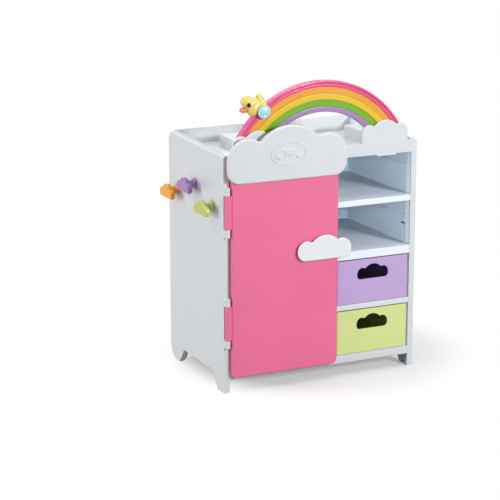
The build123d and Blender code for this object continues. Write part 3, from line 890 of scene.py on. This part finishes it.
# Groove of the pink band: distances of its inner side, bottom and outer side from the rim, and its depth
GROOVE_INNER = 5.9
GROOVE_BOTTOM = 4.5
GROOVE_OUTER = 3.1
GROOVE_DEPTH = 1.8
# The sweep starts below the tray's floor by an angle, so that the bands can be cut level with it.
SWEEP_START = asin((TRAY_FLOOR - ARCH_CENTRE) / (ARCH_OUTER + 2.0)) - radians(12)
SWEEP_STEPS = 112
BAND_MERGED = 0.001


def rounded_corners(corners, steps=5):
    """Closed outline from (x, y, radius) corners."""
    outline = []
    for i, (x, y, radius) in enumerate(corners):
        corner = Vector((x, y))
        neighbours = (corners[i - 1], corners[(i + 1) % len(corners)])
        before, after = ((Vector(other[:2]) - corner).normalized() for other in neighbours)
        half = before.angle(after) / 2
        middle = corner + (before + after).normalized() * radius / sin(half)
        start, end = (atan2(*(corner + way * radius / tan(half) - middle).yx) for way in (before, after))
        turn = (end - start + pi) % (2 * pi) - pi
        outline += arc_points(middle, radius, start, start + turn, steps)
    return outline


def band_section(colour, width, front, rounding):
    """Section of a band: across from its inner to its outer radius, and back from its front face."""
    back, back_edge = ARCH_DEPTH, BAND_BACK_EDGE
    if colour != "pink":
        return rounded_corners(
            [(0, front, rounding), (width, front, rounding), (width, back, back_edge), (0, back, back_edge)]
        )
    # The outer band has a broad bead at the rim and a narrow one inside it, with a groove between.
    return rounded_corners(
        [
            (0, front, 1.3),
            (width - GROOVE_INNER, front, 1.0),
            (width - GROOVE_BOTTOM, front + GROOVE_DEPTH, 0.3),
            (width - GROOVE_OUTER, front, 1.0),
            (width, front, rounding),
            (width, back, 0.8),
            (0, back, back_edge),
        ]
    )


def sweep_group():
    """Node group that sweeps a section, given as a curve, along an arc and closes its ends."""
    tree, given, identifiers = start_group(
        "rainbow_sweep",
        (
            ("Radius", "NodeSocketFloat", ARCH_OUTER * MM),
            ("Start Angle", "NodeSocketFloat", 0.0),
            ("Sweep Angle", "NodeSocketFloat", pi),
            ("Resolution", "NodeSocketInt", SWEEP_STEPS),
        ),
    )
    arc_inputs = ("Radius", "Start Angle", "Sweep Angle", "Resolution")
    arc = add_node(tree, "GeometryNodeCurveArc", {title: given[title] for title in arc_inputs})
    swept = add_node(
        tree,
        "GeometryNodeCurveToMesh",
        {"Curve": arc.outputs["Curve"], "Profile Curve": given["Geometry"], "Fill Caps": True},
    )
    end_group(tree, given, swept.outputs["Mesh"])
    return tree, identifiers


def section_curve(section):
    """Closed curve of a section, on an object of its own."""
    data = bpy.data.curves.new("band_section", "CURVE")
    data.dimensions = "3D"
    spline = data.splines.new("POLY")
    spline.points.add(len(section) - 1)
    for point, (across, back) in zip(spline.points, section):
        point.co = (across * MM, back * MM, 0, 1)
    spline.use_cyclic_u = True
    return loose("band_section", data)


def settle_band(bm):
    """Stand a band, which was swept flat, on the tray and cut it to fit there."""
    bmesh.ops.remove_doubles(bm, verts=bm.verts, dist=BAND_MERGED * MM)
    put(moved(bm, Matrix.Rotation(pi / 2, 4, "X")), ARCH_MIDDLE, ARCH_FRONT, ARCH_CENTRE)
    cut_off(bm, place(0, 0, TRAY_FLOOR), (0, 0, -1))
    # The outermost band's feet stand straight, behind the outer ends of the clouds in front of them.
    for side in (-1, 1):
        cut_off(bm, place(ARCH_MIDDLE + side * FOOT_REACH, 0, 0), (side, 0, 0))


class WARDROBE_OT_rainbow(bpy.types.Operator):
    """Five bands of the rainbow"""

    bl_idname = "wardrobe.rainbow"
    bl_label = "Build Rainbow"

    def execute(self, context):
        tree, identifiers = sweep_group()
        outer = ARCH_OUTER
        for colour, width, front, rounding in BANDS:
            inner = outer - width
            values = {
                "Radius": inner * MM,
                "Start Angle": SWEEP_START,
                "Sweep Angle": pi - 2 * SWEEP_START,
                "Resolution": SWEEP_STEPS,
                "Material": FINISHES["band_" + colour],
            }
            carrier = section_curve(band_section(colour, width, front, rounding))
            band = grown(carrier, tree, identifiers, values)
            settle_band(band)
            title = "rainbow_" + colour
            own_piece("Rainbow" + colour.capitalize(), band, "band_" + colour, (title,), sharp=40)
            outer = inner - BAND_JOINT
        return {"FINISHED"}


# Duckling

DUCK_MIDDLE = 10.3
# Each ellipsoid's X, Z, half sizes and lean in degrees
DUCKLING_BODY = (
    (43.6, 452.4, (9.8, 8.8, 9.2), 0),
    (50.6, 448.4, (11.6, 9.0, 9.0), -40),
    (56.0, 442.0, (13.5, 9.0, 12.6), -30),
    (66.0, 441.5, (13.0, 9.0, 12.0), 0),
    (65.4, 453.6, (7.0, 5.4, 10.4), -14),
    (69.8, 447.5, (7.0, 6.6, 9.0), -35),
)
DUCKLING_BEAK = ((38.6, 440.0, (6.6, 4.4, 4.6), 8), (34.8, 439.2, (3.4, 3.6, 2.7), 8))
DUCKLING_EYE = (43.6, 448.4, (3.0, 2.4, 3.7), -22)
EYE_OFFSET = 7.8
# Wing as a turned form of (radius, height), its middle in X and Z, and how far out its inner face stands
WING_RIM = ((0, 0), (10.6, 0), (10.8, 0.5), (10.7, 1.2))
WING_DOME = ((10.0, 1.9), (8.4, 2.6), (6.2, 3.2), (3.4, 3.6), (0, 3.75))
WING_MIDDLE = (68.2, 436.6)
WING_OFFSET = 10.0
MELTED_SHARP = 60


def blob(bm, x, z, size, lean, y=DUCK_MIDDLE):
    """Add an ellipsoid. Its middle is in drawing millimetres and lean turns it in the rainbow's plane."""
    turn = Matrix.Rotation(radians(lean), 4, "Y")
    shape = Matrix.Diagonal((*Vector(size) * MM, 1))
    where = Matrix.Translation(place(x, y, z))
    bmesh.ops.create_icosphere(bm, subdivisions=4, radius=1.0, matrix=where @ turn @ shape)


def melted(name, blobs, voxel_mm, rounds):
    """Overlapping ellipsoids melted into one skin."""
    bm = bmesh.new()
    for values in blobs:
        blob(bm, *values)
    form = loose_form(name, bm)
    remesh = form.modifiers.new("skin", "REMESH")
    remesh.mode = "VOXEL"
    remesh.voxel_size = voxel_mm * MM
    smooth = form.modifiers.new("smooth", "SMOOTH")
    smooth.factor = 0.6
    smooth.iterations = rounds
    return baked_form(form)


class WARDROBE_OT_duckling(bpy.types.Operator):
    """Duckling on the rainbow's shoulder: body, beak, eyes and dotted wings"""

    bl_idname = "wardrobe.duckling"
    bl_label = "Build Duckling"

    def execute(self, context):
        body = melted("duckling_form", DUCKLING_BODY, voxel_mm=0.7, rounds=10)
        own_piece("DucklingBody", body, "duck", ("duck_body",), sharp=MELTED_SHARP)
        beak = melted("beak_form", DUCKLING_BEAK, voxel_mm=0.45, rounds=8)
        own_piece("DucklingBeak", beak, "beak", ("duck_beak",), sharp=MELTED_SHARP)
        eyes, wings = bmesh.new(), bmesh.new()
        for side in (-1, 1):
            blob(eyes, *DUCKLING_EYE, DUCK_MIDDLE + side * EYE_OFFSET)
            wing = moved(lathe([*WING_RIM, *WING_DOME]), Matrix.Diagonal((1, side, 1, 1)))
            join(wings, put(wing, WING_MIDDLE[0], DUCK_MIDDLE + side * WING_OFFSET, WING_MIDDLE[1]))
        own_piece("DucklingEyes", eyes, "eye", ("duck_eyes",), sharp=MELTED_SHARP)
        own_piece("DucklingWings", wings, "wing", ("duck_wings",), sharp=MELTED_SHARP)
        return {"FINISHED"}


# Fastenings

HINGE_AXIS = (4.2, -4.6)
# End of a hinge pin as (radius, distance from its tip)
PIN_DOME = [(0, 0), (0.9, 0.05), (1.35, 0.3), (1.55, 0.8)]
PIN_GROOVE = [(1.55, 4.0), (1.4, 4.3), (1.4, 5.0), (1.55, 5.3)]
SCREW_COLUMNS = (32.8, 303.6)
SCREW_LEVELS = (60.0, 214.5, 330.0)
SCREW_HEAD_TOP = 209.75
# Screw as (radius, height from the top of its head)
SCREW_DOME = [(0, 0), (1.5, 0), (2.6, -0.08), (3.05, -0.45), (3.2, -1.0)]
SCREW_UNDERSIDE = [(3.2, -1.7), (3.1, -1.8), (1.45, -1.8)]
SCREW_POINT = [(0.7, -13.2), (0, -13.8)]
THREAD_START = -2.6
THREAD_PITCH = 1.0
THREAD_TURNS = 9
# One ridge of the thread, as radii and distances from where it starts
THREAD_RIDGE = ((1.2, 0), (1.48, 0.4), (1.48, 0.55), (1.2, 0.95))
RECESS_LONG = 3.4
RECESS_WIDE = 0.75
RECESS_DEPTH = 0.9
FASTENING_STEPS = 32
SCATTER_SEED = 7


def pan_head_screw():
    """Screw that points to the front: a domed pan head with a cross recess, a thread and a blunt point."""
    thread = [
        (radius, THREAD_START - THREAD_PITCH * turn - along)
        for turn in range(THREAD_TURNS)
        for radius, along in THREAD_RIDGE
    ]
    profile = [*SCREW_DOME, *SCREW_UNDERSIDE, *thread, *SCREW_POINT]
    screw = loose_form("screw_form", lathe(profile, FASTENING_STEPS))
    cutters = []
    for across, up in ((RECESS_LONG, RECESS_WIDE), (RECESS_WIDE, RECESS_LONG)):
        half = Vector((across / 2, RECESS_DEPTH, up / 2)) * MM
        cutters.append(loose_form("recess_form", box_form(-half, half)))
        recess = screw.modifiers.new("recess", "BOOLEAN")
        recess.operation = "DIFFERENCE"
        recess.solver = "EXACT"
        recess.object = cutters[-1]
    mesh = baked(screw)
    for cutter in cutters:
        bpy.data.objects.remove(cutter)
    return loose("screw_form", mesh)


def scatter_group():
    """Node group that sets one fastening on each point, turned about its own axis by a seeded angle."""
    tree, given, identifiers = start_group(
        "screw_scatter",
        (
            ("Fastening", "NodeSocketObject", None),
            ("Scale", "NodeSocketFloat", 1.0),
            ("Seed", "NodeSocketInt", SCATTER_SEED),
        ),
    )
    shape = add_node(tree, "GeometryNodeObjectInfo", {"Object": given["Fastening"]})
    turn = add_node(tree, "FunctionNodeRandomValue", {"Seed": given["Seed"]}, data_type="FLOAT_VECTOR")
    set_inputs(tree, turn, {"Min": (0, 0, 0), "Max": (0, 2 * pi, 0)})
    placed = add_node(
        tree,
        "GeometryNodeInstanceOnPoints",
        {
            "Points": given["Geometry"],
            "Instance": shape.outputs["Geometry"],
            "Rotation": turn.outputs["Value"],
            "Scale": given["Scale"],
        },
    )
    end_group(tree, given, placed.outputs["Instances"])
    return tree, identifiers


class WARDROBE_OT_fastenings(bpy.types.Operator):
    """Hinge pins with domed ends, and the six pan-head screws of the back"""

    bl_idname = "wardrobe.fastenings"
    bl_label = "Build Fastenings"

    def execute(self, context):
        # A pin stands along its knuckles. Its domed ends stay within the knuckles' height.
        upright = Matrix.Rotation(pi / 2, 4, "X")
        for name, node in (("LowerPin", "hinge_pin_lower"), ("UpperPin", "hinge_pin_upper")):
            levels = [vertex.co.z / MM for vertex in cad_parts[node].data.vertices]
            low, long = min(levels), max(levels) - min(levels)
            end = PIN_DOME + PIN_GROOVE
            profile = end + [(radius, long - along) for radius, along in reversed(end)]
            pin = put(moved(lathe(profile, FASTENING_STEPS), upright), *HINGE_AXIS, low)
            own_piece(name, pin, "zinc", (node,))

        screw = pan_head_screw()
        points = bpy.data.meshes.new("screw_places")
        points.from_pydata([place(x, SCREW_HEAD_TOP, z) for x in SCREW_COLUMNS for z in SCREW_LEVELS], [], [])
        tree, identifiers = scatter_group()
        values = {"Fastening": screw, "Scale": 1.0, "Seed": SCATTER_SEED, "Material": FINISHES["zinc"]}
        screws = grown(loose("screw_places", points), tree, identifiers, values)
        bpy.data.objects.remove(screw)
        own_piece("BackScrews", screws, "zinc", ("back_screws",), sharp=35)
        return {"FINISHED"}


# Stage

PURE_WHITE = "#FFFFFF"
LAMP_AIM = Vector((0, 0, 0.2))
FLOOR_REACH = 6.0
# The camera's place in the drawing, its turn to the right and downwards in degrees, and its lens
CAMERA_PLACE = (-1099.0, -2390.5, 901.6)
CAMERA_RIGHT = 25.5615
CAMERA_DOWN = 14.3275
CAMERA_LENS = 128.74
CAMERA_SENSOR = 36.0
# Middle of the floor's shadow in the frame, and the distances from it between which the paper turns white
SHADOW_MIDDLE = (75.0, 35.0, 0.0)
SHADOW_INNER = 180.0
SHADOW_OUTER = 270.0


def soft_box(name, bearing, height, size, power, colour=PURE_WHITE, only=(), aim=LAMP_AIM, distance=2.2):
    """Square studio lamp, turned to its aim, that lights everything or only the pieces named.

    Bearing is degrees to the right of the front, height is degrees up, and distance is in metres.
    """
    turn, rise = radians(bearing), radians(height)
    towards = Vector((sin(turn) * cos(rise), -cos(turn) * cos(rise), sin(rise)))
    data = bpy.data.lights.new(name, "AREA")
    data.shape = "SQUARE"
    data.size = size
    data.energy = power
    data.color = linear(colour)[:3]
    lamp = loose(name, data)
    lamp.location = aim + distance * towards
    lamp.rotation_euler = towards.to_track_quat("Z", "Y").to_euler()
    lamp.visible_camera = False
    if only:
        lit_pieces = bpy.data.collections.new(name + "Pieces")
        for piece in only:
            lit_pieces.objects.link(PIECES[piece])
        lamp.light_linking.receiver_collection = lit_pieces


def seen_rays(tree):
    """Sockets of the kinds of ray, and one that is 1 for camera, glossy and transmission rays."""
    rays = add_node(tree, "ShaderNodeLightPath").outputs
    direct = add_node(
        tree, "ShaderNodeMath", {0: rays["Is Camera Ray"], 1: rays["Is Glossy Ray"]}, operation="MAXIMUM"
    )
    seen = add_node(
        tree, "ShaderNodeMath", {0: direct.outputs[0], 1: rays["Is Transmission Ray"]}, operation="MAXIMUM"
    )
    return rays, seen.outputs[0]


def studio_world():
    """World that looks pure white, and gives the wardrobe a dimmer, slightly blue fill light."""
    world = bpy.data.worlds.new("StudioWorld")
    world.use_nodes = True
    tree = world.node_tree
    tree.nodes.clear()
    fill = add_node(tree, "ShaderNodeBackground", {"Color": linear("#F2F6FC"), "Strength": 0.33})
    white = add_node(tree, "ShaderNodeBackground", {"Color": linear(PURE_WHITE), "Strength": 1.0})
    _, seen = seen_rays(tree)
    mix = add_node(tree, "ShaderNodeMixShader", {0: seen, 1: fill.outputs[0], 2: white.outputs[0]})
    add_node(tree, "ShaderNodeOutputWorld", {"Surface": mix.outputs[0]})
    return world


def paper_floor():
    """Seamless white studio paper: matt, with a faint fibre grain.

    Round the wardrobe it takes the soft shadow, and further out it runs into pure white for the
    camera and for reflections, as a lit backdrop does.
    """
    material, tree, in_mm, surface, output = shader("studio_paper")
    fibre = add_node(tree, "ShaderNodeTexNoise", {"Vector": in_mm, "Scale": 0.5, "Detail": 4.0})
    bump = add_node(
        tree, "ShaderNodeBump", {"Strength": 0.1, "Distance": 0.05 * MM, "Height": fibre.outputs["Fac"]}
    )
    sheet = {"Base Color": linear("#E8E8E8"), "Roughness": 0.9, "Normal": bump.outputs["Normal"]}
    set_inputs(tree, surface, sheet)
    from_shadow = add_node(tree, "ShaderNodeVectorMath", {0: in_mm, 1: SHADOW_MIDDLE}, operation="DISTANCE")
    outwards = add_node(
        tree,
        "ShaderNodeMapRange",
        {
            "Value": from_shadow.outputs["Value"],
            "From Min": SHADOW_INNER,
            "From Max": SHADOW_OUTER,
            "To Min": 0.3,
            "To Max": 1.0,
        },
        interpolation_type="SMOOTHSTEP",
    )
    rays, seen = seen_rays(tree)
    share = add_node(tree, "ShaderNodeMath", {0: outwards.outputs["Result"], 1: seen}, operation="MULTIPLY")
    lit = add_node(tree, "ShaderNodeEmission", {"Color": linear(PURE_WHITE), "Strength": 1.0})
    # The paper gives the wardrobe less light from below than it would, which keeps the shadows deep.
    dim = add_node(tree, "ShaderNodeBsdfDiffuse", {"Color": linear("#949494")})
    paper = add_node(
        tree, "ShaderNodeMixShader", {0: rays["Is Diffuse Ray"], 1: surface.outputs[0], 2: dim.outputs[0]}
    )
    backdrop = {0: share.outputs[0], 1: paper.outputs[0], 2: lit.outputs[0]}
    mixed = add_node(tree, "ShaderNodeMixShader", backdrop)
    set_inputs(tree, output, {"Surface": mixed.outputs[0]})
    return material


class WARDROBE_OT_stage(bpy.types.Operator):
    """White floor, studio lamps, pale world and the camera"""

    bl_idname = "wardrobe.stage"
    bl_label = "Build Stage"

    def execute(self, context):
        scene = context.scene
        scene.view_settings.view_transform = "Standard"

        sheet = bmesh.new()
        bmesh.ops.create_grid(sheet, x_segments=2, y_segments=2, size=FLOOR_REACH)
        floor = loose_form("Floor", sheet)
        floor.data.materials.append(paper_floor())
        scene.world = studio_world()

        # The key from the right of the front gives the slanted shadow in the open bays. The lamp by the
        # camera reaches into them, and the others fill the left side, the tray and the floor.
        soft_box("KeyLamp", 22, 19, 0.3, 33)
        soft_box("CameraLamp", -25, 14, 0.9, 2.5)
        soft_box("TopLamp", -90, 85, 1.6, 17)
        soft_box("RimLamp", 52, 58, 0.32, 4)
        soft_box("BackLamp", 180, 50, 1.4, 8)
        soft_box("RearLeftLamp", -120, 40, 1.2, 6)
        soft_box("LeftLamp", -90, 5, 1.2, 30, "#FFFDFC")
        # Lamps that fall on a few pieces alone lift the open bays and the tray out of the shade.
        soft_box("BayLamp", -22, 15, 0.5, 20, "#D8E6F2", only=("RightLiner", "CabinetBack"))
        tray_left = place(60, 180, 368)
        soft_box("TrayLamp", 0, 12, 0.03, 0.07, only=("TopTray",), aim=tray_left, distance=0.14)
        soft_box("BackWallLamp", 6, 6, 0.5, 2.5, "#DCE8F4", only=("CabinetBack",))
        soft_box("ShelfLamp", 24, 36, 0.35, 13, "#EAF0F8", only=("UpperShelf", "MiddleShelf"))

        camera = loose("Camera", bpy.data.cameras.new("Camera"))
        camera.data.lens = CAMERA_LENS
        camera.data.sensor_width = CAMERA_SENSOR
        camera.data.sensor_fit = "HORIZONTAL"
        camera.location = place(*CAMERA_PLACE)
        camera.rotation_euler = (radians(90 - CAMERA_DOWN), 0, radians(-CAMERA_RIGHT))
        scene.camera = camera
        return {"FINISHED"}


# Panel and registration


class WARDROBE_PT_panel(bpy.types.Panel):
    """Sidebar panel with the wardrobe's pieces and settings"""

    bl_idname = "WARDROBE_PT_panel"
    bl_label = "Wardrobe"
    bl_space_type = "VIEW_3D"
    bl_region_type = "UI"
    bl_category = "Wardrobe"

    def draw(self, context):
        for operator in OPERATORS:
            self.layout.operator(operator.bl_idname)
        for group in (context.scene.wardrobe_sizes, context.scene.wardrobe_colours):
            box = self.layout.box()
            for name in group.__annotations__:
                box.prop(group, name)


OPERATORS = (
    WARDROBE_OT_cabinet,
    WARDROBE_OT_door,
    WARDROBE_OT_clouds,
    WARDROBE_OT_drawers,
    WARDROBE_OT_knobs,
    WARDROBE_OT_rainbow,
    WARDROBE_OT_duckling,
    WARDROBE_OT_fastenings,
    WARDROBE_OT_stage,
)
CLASSES = (WardrobeColours, WardrobeSizes, *OPERATORS, WARDROBE_PT_panel)


def register():
    for cls in CLASSES:
        bpy.utils.register_class(cls)
    bpy.types.Scene.wardrobe_colours = bpy.props.PointerProperty(type=WardrobeColours)
    bpy.types.Scene.wardrobe_sizes = bpy.props.PointerProperty(type=WardrobeSizes)


def unregister():
    del bpy.types.Scene.wardrobe_sizes
    del bpy.types.Scene.wardrobe_colours
    for cls in reversed(CLASSES):
        bpy.utils.unregister_class(cls)


def main():
    register()
    make_finishes(bpy.context.scene.wardrobe_colours)
    bpy.ops.wardrobe.cabinet()
    bpy.ops.wardrobe.door()
    bpy.ops.wardrobe.clouds()
    bpy.ops.wardrobe.drawers()
    bpy.ops.wardrobe.knobs()
    bpy.ops.wardrobe.rainbow()
    bpy.ops.wardrobe.duckling()
    bpy.ops.wardrobe.fastenings()
    bpy.ops.wardrobe.stage()


if __name__ == "__main__":
    main()
